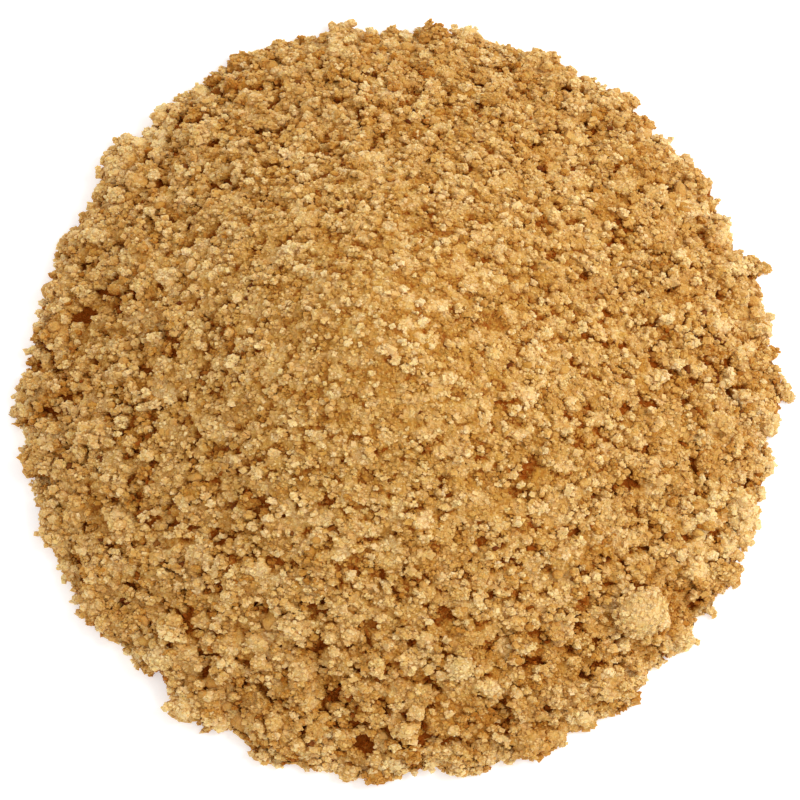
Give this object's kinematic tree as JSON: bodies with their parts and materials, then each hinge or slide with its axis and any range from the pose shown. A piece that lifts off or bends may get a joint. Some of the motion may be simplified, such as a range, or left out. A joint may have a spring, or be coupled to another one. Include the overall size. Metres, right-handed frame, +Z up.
{
  "type": "coconut sugar heap",
  "caption": "Loose round heap of golden brown coconut sugar, coarse and clumped towards its ragged foot, for a kitchen, bakery or spice display.",
  "frame": {"origin": "middle of the footprint, on the flat underside that the heap lies on", "axes": "+Z up to the peak, +X to the heap's right and +Y to its back, as seen from the side that is shown"},
  "size_m": [0.0928, 0.0932, 0.026],
  "materials": {
    "coconut_sugar": null
  },
  "bodies": {
    "root": {"sugar_heap": "coconut_sugar"}
  },
  "joints": []
}
